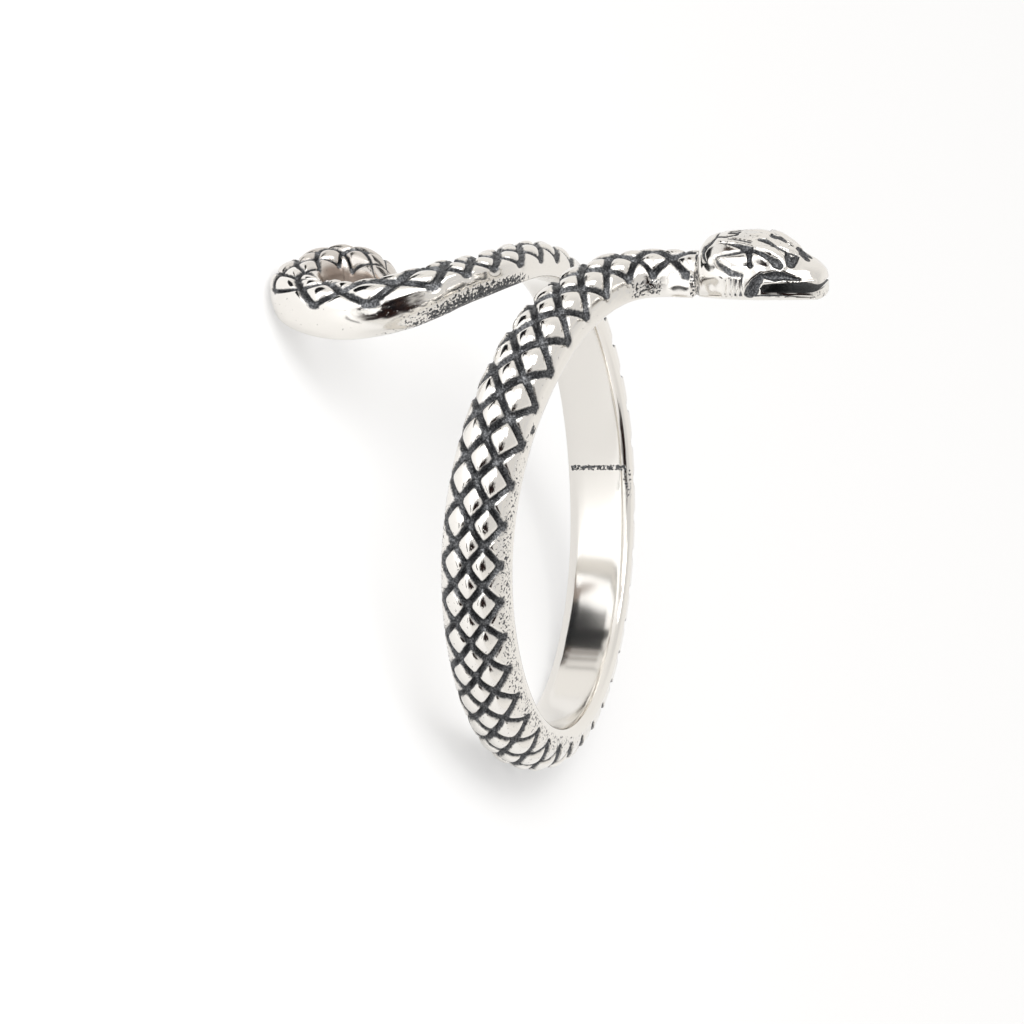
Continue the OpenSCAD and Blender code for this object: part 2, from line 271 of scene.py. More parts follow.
def bodySurface(t, p, v):
    # points for every t (rows) and every v (columns); v is signed, and 0 is the crest
    foot, out, across, row = frames(t)
    size = [band["width"] * row[:, 2] / 2, band["height"] * row[:, 3], band["wall"] * row[:, 4],
            band["bevel"] * row[:, 2] * row[:, 4], band["barrel"] * row[:, 4]]
    half, high, low, bevel, barrel = [x[:, None] for x in size]
    turnMore = sideAngle(p)[:, None]

    def place(u, h):
        return foot[:, None, :] + u[:, :, None] * across[:, None, :] + h[:, :, None] * out[:, None, :]

    # where the section dips into the finger, on both sides
    fineG = np.arange(wallAt, 2 * innerAt - wallAt, band["rimStep"])
    rim = {}
    for side in (1, -1):
        u, h = lowerOutline(fineG[None, :] + 0 * half, half, high, low, bevel, barrel, turnMore)
        edge = place(side * u, h)
        over = np.hypot(edge[..., 1], edge[..., 2]) - band["fingerR"]
        i = np.maximum(np.argmax(over < 0, axis=1), 1)
        rows = np.arange(len(i))
        share = over[rows, i - 1] / (over[rows, i - 1] - over[rows, i])
        rim[side] = (fineG[i - 1] + share * band["rimStep"],
                     edge[rows, i - 1] + share[:, None] * (edge[rows, i] - edge[rows, i - 1]))

    w = np.abs(v)[None, :] + 0 * half
    side = np.where(v < 0, -1, 1)[None, :]
    dome = np.minimum(w, wallAt)
    perMm = np.hypot(2 / (band["scaleLength"] * row[:, 5:6]),
                     1 / (np.radians(scales["crestAngle"] + 2 * turnMore * dome) * half))
    widths = np.array(scales["widths"])
    wide = (scales["grooveWidth"] / 2 * np.interp(p, widths[:, 0], widths[:, 1]))[:, None]
    # the side wall is nearly this long, whatever the dome's side angle
    wallLength = 0.8 * low + 0.2 * high - bevel
    rising = lattice(p[:, None] + dome)
    falling = lattice(p[:, None] - dome)
    n = scales["cornerPower"]
    nearest = (np.maximum(rising, 1e-4) ** -n + np.maximum(falling, 1e-4) ** -n) ** (-1 / n)
    distance = np.hypot(nearest / perMm, (w - dome) * wallLength)
    shown = (1 - scales["sideFade"] * dome**2) * smooth(p, 0.5, scales["start"])[:, None]
    cut = (1 - smooth(distance, scales["grooveFloor"] * wide, scales["grooveEdge"] * wide))
    cut = cut * (w < scales["grooveTo"])
    pillow = (1 - (1 - rising) ** scales["swellPower"]) * (1 - (1 - falling) ** scales["swellPower"])
    lift = scales["top"] - scales["swell"] * (1 - pillow)
    # the half scales beside the wall are cut off flush with it
    column = np.floor((p[:, None] + dome + 1) / 2) - np.floor((p[:, None] - dome + 1) / 2)
    lift += (scales["wallLevel"] - lift) * smooth(nearest, 0.0, scales["wallCut"]) * (column > 1.5)
    lift += (scales["wallLevel"] - lift) * smooth(w, *scales["wallBlend"])
    lift = (lift - scales["grooveDepth"] * cut) * shown
    a = np.radians(scales["crestAngle"] * dome + turnMore * dome**2)
    domeU = (half + lift) * np.sin(a)
    domeH = low + (high - low + lift) * np.cos(a)
    shift = np.where(v < 0, rim[-1][0][:, None], rim[1][0][:, None]) - rimAt
    g = w + shift * np.clip((w - band["rimFrom"]) / (rimAt - band["rimFrom"]), 0, 1)
    lowU, lowH = lowerOutline(g, half, high, low, bevel, barrel, turnMore)
    u = np.where(w <= wallAt, domeU, lowU + lift)
    h = np.where(w <= wallAt, domeH, lowH)
    points = place(side * u, h)
    # the inner face runs on the finger from one rim to the other
    f = (np.clip((w - rimAt) / (innerAt - rimAt), 0, 1) / 2)[..., None]
    near = np.where(v[None, :, None] < 0, rim[-1][1][:, None, :], rim[1][1][:, None, :])
    far = np.where(v[None, :, None] < 0, rim[1][1][:, None, :], rim[-1][1][:, None, :])
    inner = near + (far - near) * f
    inner[..., 1:] *= (band["fingerR"] / np.hypot(inner[..., 1], inner[..., 2]))[..., None]
    points = np.where((w > rimAt - 0.01)[..., None], inner, points)
    # a small rounding at both rims
    rounded = (np.roll(points, 1, axis=1) + 2 * points + np.roll(points, -1, axis=1)) / 4
    points = np.where((np.abs(w - rimAt) < 0.2)[..., None], rounded, points)
    # what the silver needs: half a groove's width, and how far a point is below the dome
    grooveHalf = wide * perMm * smooth(p, 0.0, scales["start"])[:, None]
    return points, grooveHalf, (w - dome) * wallLength * perMm


# The head
head = {
    "length": 5.1,
    "width": 3.8,
    "height": 2.4,
    "chinRise": 0.06,
    "cheekRise": 0.36,
    "jowlPower": 3.2,
    "rings": 190,
    "bluntFrom": 0.92,
    "bluntPower": 3.4,
    "ringsBehind": 0.8,    # share of the rings that lie behind the blunt end
    "neckBlend": 0.055,    # share of the length over which the neck's section turns into the head's
    "lipGap": 0.60,        # height between the two lips at the front, mm
    "lipMiddle": 0.34,     # where the upper lip and the jaw close, as shares of their heights
    "jawMiddle": 0.30,
    # turns round the head that stand for the body's stations 0, 2, 3, 3.6 and 5
    "turns": [0, 80, 108, 140, 180],
    "ridgeSoft": 0.05,     # mm beyond a ridge's or a cut's own width
    "cutSoft": 0.03,
    "cutFloor": 0.4,       # share of a cut's width that is flat
    "inkSoft": 0.05,       # mm over which the black of a cut fades, to both sides of its edge
}
# place, wide, top, low as shares of the head's length, width and height
headRows = np.array([
    [0.00, 0.48, 0.67, 0.00],
    [0.045, 0.51, 0.70, 0.00],
    [0.07, 0.68, 0.80, 0.00],
    [0.10, 0.83, 0.88, 0.00],
    [0.15, 0.91, 0.93, 0.00],
    [0.25, 0.97, 0.98, 0.00],
    [0.38, 1.00, 1.00, 0.00],
    [0.53, 0.96, 1.00, 0.00],
    [0.67, 0.84, 0.90, 0.00],
    [0.80, 0.70, 0.74, 0.00],
    [0.89, 0.59, 0.60, 0.00],
    [0.95, 0.51, 0.53, 0.00],
    [1.00, 0.43, 0.48, 0.00],
])


def headProfile(s, column):
    # smooth through the rows
    x, y = headRows[:, 0], headRows[:, column]
    slope = np.gradient(y, x)
    i = np.clip(np.searchsorted(x, s, side="right") - 1, 0, len(x) - 2)
    c = x[i + 1] - x[i]
    f = (s - x[i]) / c
    return ((2 * f**3 - 3 * f**2 + 1) * y[i] + (f**3 - 2 * f**2 + f) * c * slope[i]
            + (3 * f**2 - 2 * f**3) * y[i + 1] + (f**3 - f**2) * c * slope[i + 1])


neckFoot, neckOut, neckAcross = [way[0] for way in frames(np.array([float(spans)]))[:3]]
ahead = np.cross(neckAcross, neckOut)


def headSection(s, turn):
    # the smooth head: across and up in mm; turn runs from 0 at the crown to 180 under the chin
    half = headProfile(s, 1) * head["width"] / 2
    top = headProfile(s, 2) * head["height"] + head["chinRise"]
    low = headProfile(s, 3) * head["height"] + head["chinRise"]
    f = np.clip((s - head["bluntFrom"]) / (1 - head["bluntFrom"]), 0, 1)
    closing = (1 - f ** head["bluntPower"]) ** (1 / head["bluntPower"])
    cheek = low + head["cheekRise"] * (top - low)
    a = np.radians(turn)
    power = np.where(np.abs(turn) > 90, 2 / head["jowlPower"], 1.0)
    u = half * np.sign(np.sin(a)) * np.abs(np.sin(a)) ** power
    c = np.sign(np.cos(a)) * np.abs(np.cos(a)) ** power
    h = cheek + np.where(c > 0, (top - cheek) * c, (cheek - low) * c)
    # the snout closes round the middle of its upper lip and of its jaw
    gap = head["lipGap"]
    middle = np.where(h > gap, gap + head["lipMiddle"] * (top - gap), low + head["jawMiddle"] * (gap - low))
    return u * closing, middle + (h - middle) * closing


def headPoint(s, turn):
    s, turn = np.broadcast_arrays(np.asarray(s, float), np.asarray(turn, float))
    u, h = headSection(s, turn)
    return (neckFoot + (s * head["length"])[..., None] * ahead + u[..., None] * neckAcross
            + h[..., None] * neckOut)


# low swellings and hollows, mirrored on both sides: place, reach, turn, spread, rise in mm
headBumps = [
    [0.58, 0.16, 46, 18, 0.13],    # brow
    [0.82, 0.06, 42, 26, -0.04],   # nostril dent
    [0.30, 0.20, 76, 20, 0.14],    # cheek
    [0.90, 0.07, 40, 34, 0.05],    # snout plate
]
# plates and lips that stand proud: rise, softness, then place, turn and width along the middle
headRidges = [
    [0.10, 0.5, [(0.53, 39, 0.16), (0.58, 37, 0.36), (0.65, 36, 0.46), (0.71, 42, 0.36),
                 (0.745, 55, 0.20)]],
    [0.04, 0.9, [(0.525, 53, 0.30), (0.57, 53, 0.34), (0.62, 57, 0.18)]],
    [0.05, 0.5, [(0.26, 54, 0.10), (0.36, 56, 0.40), (0.45, 58, 0.60)]],
    [0.05, 0.5, [(0.36, 4, 0.30), (0.46, 8, 0.46), (0.56, 8, 0.40)]],
    [0.05, 0.5, [(0.66, 10, 0.30), (0.73, 14, 0.42), (0.79, 8, 0.30)]],
    [0.05, 0.8, [(0.585, 87, 0.10), (0.636, 84, 0.12), (0.69, 83.5, 0.12), (0.741, 80, 0.12),
                 (0.846, 74, 0.12), (0.96, 62, 0.12)]],
    [0.04, 0.8, [(0.59, 103, 0.10), (0.704, 105, 0.11), (0.83, 101, 0.11), (0.96, 99, 0.11)]],
]
# cut and blackened lines: depth, darkness, then place, turn and width along each
headCuts = [
    [0.10, 0.9, [(0.033, 0, 0.16), (0.04, 38, 0.16), (0.075, 60, 0.16)]],
    [0.04, 0.50, [(0.075, 60, 0.20), (0.10, 80, 0.26), (0.105, 95, 0.26), (0.085, 122, 0.26)]],
    [0.08, 1.0, [(0.16, 58, 0.05), (0.125, 44, 0.14), (0.138, 32, 0.24), (0.165, 27, 0.20),
                 (0.19, 14, 0.12), (0.18, 0, 0.12)]],
    [0.05, 1.0, [(0.205, 12, 0.12), (0.268, 15, 0.12), (0.348, 10, 0.10)]],
    [0.06, 1.0, [(0.28, 3, 0.20), (0.35, 5, 0.22)]],
    [0.04, 0.9, [(0.29, 19, 0.08), (0.366, 21.5, 0.09), (0.478, 28, 0.09)]],
    [0.09, 1.0, [(0.23, 27, 0.06), (0.315, 30, 0.09), (0.381, 33, 0.20), (0.44, 37, 0.28),
                 (0.49, 40, 0.30)]],
    [0.06, 0.62, [(0.233, 51.5, 0.10), (0.293, 49, 0.16), (0.356, 47, 0.18), (0.42, 44, 0.18),
                  (0.47, 42, 0.22)]],
    [0.07, 0.60, [(0.238, 54, 0.10), (0.263, 60, 0.18), (0.31, 67, 0.28), (0.376, 74, 0.32),
                  (0.453, 77.5, 0.24)]],
    [0.12, 1.0, [(0.48, 42, 0.30), (0.498, 50, 0.22), (0.503, 57, 0.18), (0.512, 64, 0.22)]],
    [0.05, 1.0, [(0.465, 63.5, 0.05), (0.505, 63, 0.10), (0.54, 62.5, 0.05)]],
    [0.10, 1.0, [(0.521, 44, 0.14), (0.583, 47, 0.20), (0.643, 50, 0.22), (0.69, 54, 0.38),
                 (0.715, 56, 0.30)]],
    [0.12, 1.0, [(0.742, 27, 0.10), (0.765, 36, 0.36), (0.785, 42, 0.46), (0.803, 33, 0.34),
                 (0.82, 18, 0.12)]],
    [0.06, 1.0, [(0.536, 20, 0.18), (0.59, 20, 0.28), (0.666, 23.5, 0.10), (0.744, 25.5, 0.12),
                 (0.80, 20, 0.10)]],
    [0.07, 1.0, [(0.60, 3, 0.22), (0.643, 2, 0.32), (0.69, 2, 0.22)]],
    [0.05, 1.0, [(0.714, 4, 0.08), (0.759, 0, 0.10)]],
    [0.08, 1.0, [(0.80, 2, 0.30), (0.83, 4, 0.42), (0.868, 9, 0.32)]],
    [0.12, 1.0, [(0.63, 76, 0.24), (0.69, 74, 0.42), (0.74, 71, 0.34), (0.80, 70, 0.24),
                 (0.87, 66, 0.08)]],
    [0.06, 0.68, [(0.60, 77, 0.30), (0.56, 88, 0.46), (0.53, 98, 0.56), (0.51, 107, 0.46)]],
    [0.03, 0.6, [(0.338, 84, 0.09), (0.32, 112, 0.10)]],
    [0.03, 0.65, [(0.378, 83, 0.10), (0.361, 112, 0.11)]],
    [0.03, 0.7, [(0.416, 84, 0.12), (0.401, 112, 0.12)]],
    [0.03, 0.75, [(0.456, 82, 0.12), (0.441, 112, 0.14)]],
    [0.06, 1.0, [(0.54, 114, 0.10), (0.60, 111.5, 0.10), (0.739, 108.5, 0.08), (0.96, 112, 0.06)]],
]


def strokeDistance(points, path):
    # distance from every point to a stroke's line, less half its width there, in mm
    path = np.array(path)
    places = np.concatenate([headPoint(path[:, 0], side * path[:, 1])[None] for side in (1, -1)])
    best = np.full(points.shape[:-1], 9.0)
    width = np.zeros(points.shape[:-1])
    for line in places:
        for a, b, wa, wb in zip(line[:-1], line[1:], path[:-1, 2], path[1:, 2]):
            d = b - a
            f = np.clip(((points - a) @ d) / (d @ d), 0, 1)
            gap = np.linalg.norm(points - a - f[..., None] * d, axis=-1)
            half = (wa + (wb - wa) * f) / 2
            nearer = gap - half < best - width / 2
            best = np.where(nearer, gap, best)
            width = np.where(nearer, 2 * half, width)
    return best, width / 2


def bump(x, middle, reach):
    d = (x - middle) / reach
    return np.where(np.abs(d) < 1, (1 + np.cos(math.pi * np.clip(d, -1, 1))) / 2, 0)


def headSurface(places, turns):
    s, a = np.meshgrid(places, turns, indexing="ij")
    smoothHead = headPoint(s, a)
    step = 0.002
    alongWay = headPoint(np.minimum(s + step, 1), a) - headPoint(np.maximum(s - step, 0), a)
    roundWay = headPoint(s, a + 0.5) - headPoint(s, a - 0.5)
    normal = np.cross(alongWay, roundWay)
    normal /= np.linalg.norm(normal, axis=-1)[..., None] + 1e-12
    lift = np.zeros_like(s)
    tarnish = np.zeros_like(s)
    for place, reach, turn, spread, rise in headBumps:
        lift += rise * bump(s, place, reach) * bump(np.abs(a), turn, spread)
    for rise, softness, path in headRidges:
        gap, half = strokeDistance(smoothHead, path)
        lift += rise * (1 - smooth(gap, (1 - softness) * half, half + head["ridgeSoft"]))
    for depth, dark, path in headCuts:
        gap, half = strokeDistance(smoothHead, path)
        lift -= depth * (1 - smooth(gap, head["cutFloor"] * half, half + head["cutSoft"]))
        ink = 1 - smooth(gap, half - head["inkSoft"], half + head["inkSoft"])
        tarnish = np.maximum(tarnish, dark * ink)
    return smoothHead + lift[..., None] * normal, tarnish


# One skin for the whole snake
print("building the snake's skin")
steps = band["stepsPerHalfScale"]
bodyP = np.arange(halfScales * steps + 1) / steps
bodyT = np.interp(bodyP, fineCounts, fineT)
bodyPoints, bodyGroove, bodyBelow = bodySurface(bodyT, bodyP, ringStations)

headStations = np.ravel(np.column_stack([
    ringStations, (ringStations + np.append(ringStations[1:], -ringStations[0])) / 2]))
turns = np.sign(headStations) * np.interp(
    np.abs(headStations), [0, wallAt, bevelAt, rimAt, innerAt], head["turns"])
turns[0] = -180
# the rings come closer together where the snout turns blunt
ringShare = np.linspace(0, 1, head["rings"] + 1)[1:]
behind = head["ringsBehind"]
places = np.where(
    ringShare < behind, ringShare * head["bluntFrom"] / behind,
    head["bluntFrom"] + (1 - head["bluntFrom"]) * np.sin((ringShare - behind) / (1 - behind) * math.pi / 2))
headPoints, headTarnish = headSurface(places, turns)
neckSection = bodySurface(np.array([float(spans)]), np.array([float(halfScales)]), headStations)[0]
blend = smooth(places, 0.0, head["neckBlend"])[:, None, None]
neckRings = neckSection + (places * head["length"])[:, None, None] * ahead
headPoints = (1 - blend) * neckRings + blend * headPoints

# casting pits are left on the side walls, most of all where the tail was filed and at the neck
pitted = {
    "wall": 0.45,
    "wallRise": (1.5, 2.0),         # stations
    "wallFall": (2.9, 3.1),
    "lowerWall": 0.40,              # more of them on the lower half of the near side
    "lowerScales": 0.50,
    "lowerRise": (58, 66),          # half scales along the body
    "lowerFall": (82, 92),
    # strength, then rise and fall along the body in half scales, and across it in stations
    "bodyAreas": [
        [1.35, (11.0, 15.5), (20.5, 22.5), (2.3, 2.9), (3.7, 4.2)],    # filed strip on the tail
        [1.0, (98.3, 99.3), (101.3, 102.0), (1.9, 2.3), (3.1, 3.6)],   # neck
    ],
    # half scales along, station across (negative on the near side), reach of each, and strength
    "marks": [
        [43.2, -3.35, 1.3, 0.34, 0.9],   # rough rim beside the seam
        [88.0, -2.5, 0.35, 0.30, 1.3],   # nick
    ],
    # where the band was closed, across the whole inner face
    "seamAt": 42.2,
    "seamReach": 0.24,
    "seam": 1.2,
    # strength, then rise and fall along the head in shares of it, and round it in degrees; a range
    # off the head means that there is no rise or no fall
    "headAreas": [
        [1.0, (-2, -1), (0.09, 0.13), (58, 80), (132, 148)],           # neck
        [0.75, (0.93, 0.98), (2, 3), (50, 70), (200, 201)],            # front of the snout
        [0.62, (0.2, 0.3), (0.78, 0.86), (-2, -1), (24, 40)],          # crown
    ],
}


def bodyPitting(p, v):
    p, v = np.meshgrid(p, v, indexing="ij")
    w = np.abs(v)
    wall = window(w, pitted["wallRise"], pitted["wallFall"])
    lower = window(p, pitted["lowerRise"], pitted["lowerFall"])
    level = wall * (pitted["wall"] + pitted["lowerWall"] * lower)
    level += pitted["lowerScales"] * lower * (1 - wall) * (w < wallAt)
    for strength, rise, fall, riseAcross, fallAcross in pitted["bodyAreas"]:
        level = np.maximum(level, strength * window(p, rise, fall) * window(w, riseAcross, fallAcross))
    for place, station, reach, spread, strength in pitted["marks"]:
        near = 1 - smooth(np.abs(p - place), 0.5 * reach, reach)
        level = np.maximum(level, strength * (np.abs(v - station) < spread) * near)
    seam = 1 - smooth(np.abs(p - pitted["seamAt"]), 0.5 * pitted["seamReach"], pitted["seamReach"])
    return np.maximum(level, pitted["seam"] * (w > rimAt - 0.1) * seam)


def headPitting(s, turn):
    s, turn = np.meshgrid(s, np.abs(turn), indexing="ij")
    level = np.zeros_like(s)
    for strength, rise, fall, riseRound, fallRound in pitted["headAreas"]:
        level = np.maximum(level, strength * window(s, rise, fall) * window(turn, riseRound, fallRound))
    return level


# brownish, darker and rougher inside the tail's loop, towards the tail's tip
dulled = {
    "fall": (6, 8.5),      # half scales from the tail's tip
    "scales": 0.35,
    "wall": 0.65,          # more on the side wall
    "wallRise": (1.6, 2.2),
}


def bodyDullness(p, v):
    p, v = np.meshgrid(p, v, indexing="ij")
    share = dulled["scales"] + dulled["wall"] * smooth(np.abs(v), *dulled["wallRise"])
    return (1 - smooth(p, *dulled["fall"])) * share


bodyN = len(ringStations)
headN = len(headStations)
bodyCount = len(bodyP) * bodyN
headCount = len(places) * headN
points = np.concatenate([bodyPoints.reshape(-1, 3), headPoints.reshape(-1, 3)])
# what the silver reads at each point of the body and of the head; no scale's groove is on the head
attributes = {
    "along": [np.repeat(bodyP, bodyN), np.full(headCount, float(halfScales))],
    "across": [np.tile(np.minimum(np.abs(ringStations), wallAt), len(bodyP)), np.full(headCount, wallAt)],
    "below": [bodyBelow, np.full(headCount, 9.0)],
    "grooveHalf": [bodyGroove, np.full(headCount, -1.0)],
    "tarnish": [np.zeros(bodyCount), headTarnish],
    "dull": [bodyDullness(bodyP, ringStations), np.zeros(headCount)],
    "pitting": [bodyPitting(bodyP, ringStations), headPitting(places, turns)],
}


def gridFaces(start, rows, n):
    i, k = np.meshgrid(np.arange(rows - 1), np.arange(n), indexing="ij")
    a = start + i * n + k
    b = start + i * n + (k + 1) % n
    return np.stack([a, a + n, b + n, b], -1).reshape(-1, 4)


faces = gridFaces(0, len(bodyP), bodyN).tolist() + gridFaces(bodyCount, len(places), headN).tolist()
# the head has twice as many points round it as the body
for k in range(bodyN):
    a = bodyCount - bodyN + k
    b = bodyCount - bodyN + (k + 1) % bodyN
    c = bodyCount + 2 * k
    d = c + 1
    e = bodyCount + (2 * k + 2) % headN
    faces += [[a, c, d], [a, d, b], [b, d, e]]
faces.append(list(range(bodyN)))
faces.append([bodyCount + headCount - headN + k for k in range(headN)][::-1])

mesh = bpy.data.meshes.new("snakeSkin")
mesh.from_pydata(toFrame(points).tolist(), [], faces)
for name, (onBody, onHead) in attributes.items():
    layer = mesh.attributes.new(name, "FLOAT", "POINT")
    layer.data.foreach_set("value", np.append(onBody, onHead).astype(np.float32))
mesh.polygons.foreach_set("use_smooth", [True] * len(mesh.polygons))
mesh.validate()
mesh.update()
snake = bpy.data.objects.new("snake_skin", mesh)
bpy.context.scene.collection.objects.link(snake)
print("skin:", len(mesh.vertices), "points,", sum(len(f) - 2 for f in faces), "triangles")


# The open mouth
# place along the head and height above the finger, mm, round the slot's outline
mouthLine = {
    "top": [(3.10, 0.90), (3.35, 0.935), (4.0, 0.935), (4.6, 0.89), (4.8, 0.84), (4.92, 0.77),
            (5.04, 0.73), (5.3, 0.72)],
    "bottom": [(5.3, 0.51), (5.0, 0.51), (4.88, 0.49), (4.7, 0.48), (4.0, 0.53), (3.5, 0.57),
               (3.12, 0.60)],
    "corner": (2.98, 0.75),
    "halfWidth": 2.4,
    "sliver": 0.001,       # points nearer than this are joined
    "onOutline": 0.004,    # faces nearer to the outline than this are the slot's own
    "shadeTo": 4.97,       # the slot's faces are painted dark as shade up to here, and those in front of it stay bright
    "sharpAngle": 50,
}


def cutMouth():
    outline = mouthLine["top"] + mouthLine["bottom"] + [mouthLine["corner"]]
    n = len(outline)
    corners = []
    for side in (-1, 1):
        for x, h in outline:
            corners.append(neckFoot + x * ahead + side * mouthLine["halfWidth"] * neckAcross + h * neckOut)
    sides = [[i, (i + 1) % n, n + (i + 1) % n, n + i] for i in range(n)]
    cutterMesh = bpy.data.meshes.new("mouthCutter")
    cutterMesh.from_pydata(toFrame(np.array(corners)).tolist(), [],
                           sides + [list(range(n))[::-1], list(range(n, 2 * n))])
    cutter = bpy.data.objects.new("mouthCutter", cutterMesh)
    bpy.context.scene.collection.objects.link(cutter)
    cut = snake.modifiers.new("mouth", "BOOLEAN")
    cut.operation = "DIFFERENCE"
    cut.solver = "MANIFOLD"
    cut.object = cutter
    graph = bpy.context.evaluated_depsgraph_get()
    carved = bpy.data.meshes.new_from_object(snake.evaluated_get(graph))
    snake.modifiers.clear()
    snake.data = carved
    bpy.data.objects.remove(cutter)
    # the cut leaves slivers along its edges
    skin = bmesh.new()
    skin.from_mesh(carved)
    bmesh.ops.remove_doubles(skin, verts=skin.verts, dist=mouthLine["sliver"] * mm)
    skin.to_mesh(carved)
    skin.free()
    # the slot's own faces are painted dark, as shade inside the mouth
    middles = np.empty(len(carved.polygons) * 3)
    carved.polygons.foreach_get("center", middles)
    middles = (middles.reshape(-1, 3) - ringMiddle) @ turnToFrame / mm - neckFoot
    place = np.column_stack([middles @ ahead, middles @ neckOut])
    corners = np.array(outline + outline[:1])
    gap = np.full(len(place), 9.0)
    for a, b in zip(corners[:-1], corners[1:]):
        d = b - a
        f = np.clip(((place - a) @ d) / (d @ d), 0, 1)
        gap = np.minimum(gap, np.linalg.norm(place - a - f[:, None] * d, axis=1))
    inside = carved.attributes.new("mouth", "FLOAT", "FACE")
    shadedSlotFaces = (gap < mouthLine["onOutline"]) & (place[:, 0] < mouthLine["shadeTo"])
    inside.data.foreach_set("value", shadedSlotFaces.astype(np.float32))


print("cutting the mouth")
before = len(snake.data.polygons)
cutMouth()
print("mouth:", before, "faces before and", len(snake.data.polygons), "after")
snake.data.set_sharp_from_angle(angle=math.radians(mouthLine["sharpAngle"]))


# Finishes
def linear(hexColour):
    # sRGB hex to the linear colour that Blender wants
    parts = [int(hexColour[i:i + 2], 16) / 255 for i in (1, 3, 5)]
    return [c / 12.92 if c <= 0.04045 else ((c + 0.055) / 1.055) ** 2.4 for c in parts] + [1]


def addNode(tree, kind, inputs=None, **settings):
    node = tree.nodes.new(kind)
    for name, value in settings.items():
        setattr(node, name, value)
    for key, value in (inputs or {}).items():
        if isinstance(value, bpy.types.NodeSocket):
            tree.links.new(value, node.inputs[key])
        else:
            node.inputs[key].default_value = value
    return node


# sterling silver, lost-wax cast, dipped in liver of sulphur and buffed: the high places are bright
# and mirror soft, and the cuts and casting pits keep their grey-black skin; the faces inside the
# mouth's slot are painted dark as shade
silver = {
    "polished": "#E9E6E1",
    "blackened": "#424345",
    "worn": "#77787A",          # where the buff has just reached into a cut
    "dull": "#A1948B",          # brownish, inside the tail's loop
    "polishedRoughness": 0.12,
    "blackenedRoughness": 0.45,
    # size in mm and detail of each noise: the ragged edge of the black, the casting pits and the
    # worn specks, both drawn as coarse as they need to show, and the buff's long waves
    "noises": {"edge": (0.16, 2.0), "pit": (0.10, 3.0), "speck": (0.07, 2.0), "wave": (1.6, 0.0)},
    "edgeWander": 0.16,         # half scales
    "pitShare": 0.36,           # how much a point's own pitting helps the noise
    # from where to where each of these turns from bright to dark, or from black to worn
    "cutRange": (-0.03, 0.05),
    "headRange": (0.40, 0.60),
    "pitRange": (0.86, 0.90),
    "speckRange": (0.42, 0.66),
    "waveStrength": 0.15,
    "waveHeightMm": 0.05,
    "grainStrength": 0.6,
    "grainHeightMm": 0.03,
}


